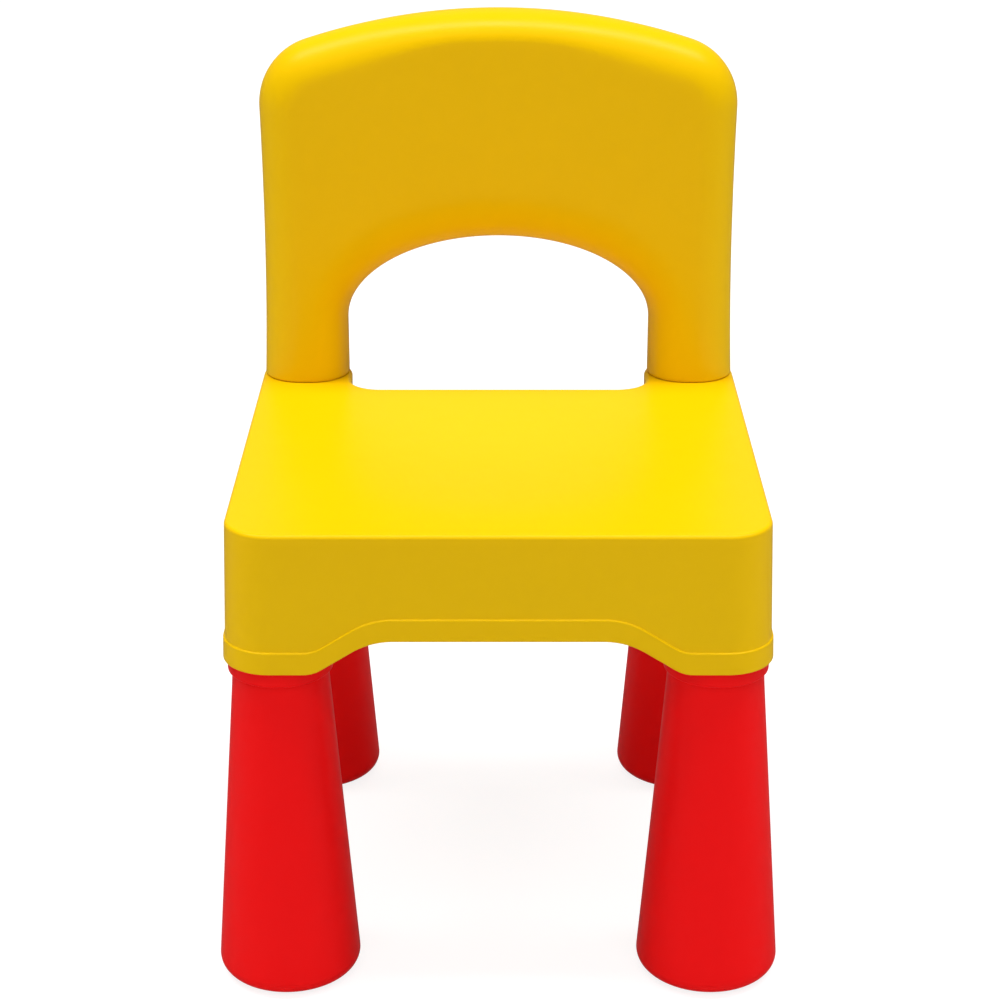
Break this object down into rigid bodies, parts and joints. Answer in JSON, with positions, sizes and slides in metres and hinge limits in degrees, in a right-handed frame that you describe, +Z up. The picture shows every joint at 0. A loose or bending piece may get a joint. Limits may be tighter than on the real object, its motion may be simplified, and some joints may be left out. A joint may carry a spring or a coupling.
{
  "type": "child's chair",
  "caption": "Child's plastic chair: square seat with a rounded skirt, tapered twist-in legs with non-slip pads, and a lift-out backrest with an arched opening.",
  "frame": {"origin": "on the floor, under the middle of the overall box, midway between the four legs", "axes": "+Z up, the front of the seat faces -Y, +X to the sitter's left"},
  "size_m": [0.2722, 0.275, 0.4298],
  "materials": {
    "yellow_plastic": "satin gloss moulded",
    "red_plastic": "satin gloss moulded",
    "foot_rubber": "matt"
  },
  "bodies": {
    "seat": {"seat_shell": "yellow_plastic"},
    "backrest": {"backrest_shell": "yellow_plastic", "backrest_rear_cover": "yellow_plastic"},
    "front_left_leg": {"leg_front_left": "red_plastic", "foot_pad_front_left": "foot_rubber"},
    "front_right_leg": {"leg_front_right": "red_plastic", "foot_pad_front_right": "foot_rubber"},
    "rear_left_leg": {"leg_rear_left": "red_plastic", "foot_pad_rear_left": "foot_rubber"},
    "rear_right_leg": {"leg_rear_right": "red_plastic", "foot_pad_rear_right": "foot_rubber"}
  },
  "joints": [
    {"name": "backrest_lift", "type": "slide", "parent": "seat", "child": "backrest", "axis": [0, 0, 1], "range_m": [0, 0.045]},
    {"name": "front_left_twist", "type": "hinge", "parent": "seat", "child": "front_left_leg", "pos_m": [0.1019, -0.1033, 0.168], "axis": [0, 0, -1], "range_deg": [0, 60]},
    {"name": "front_right_twist", "type": "hinge", "parent": "seat", "child": "front_right_leg", "pos_m": [-0.1019, -0.1033, 0.168], "axis": [0, 0, -1], "range_deg": [0, 60]},
    {"name": "rear_left_twist", "type": "hinge", "parent": "seat", "child": "rear_left_leg", "pos_m": [0.1019, 0.1033, 0.168], "axis": [0, 0, -1], "range_deg": [0, 60]},
    {"name": "rear_right_twist", "type": "hinge", "parent": "seat", "child": "rear_right_leg", "pos_m": [-0.1019, 0.1033, 0.168], "axis": [0, 0, -1], "range_deg": [0, 60]}
  ]
}
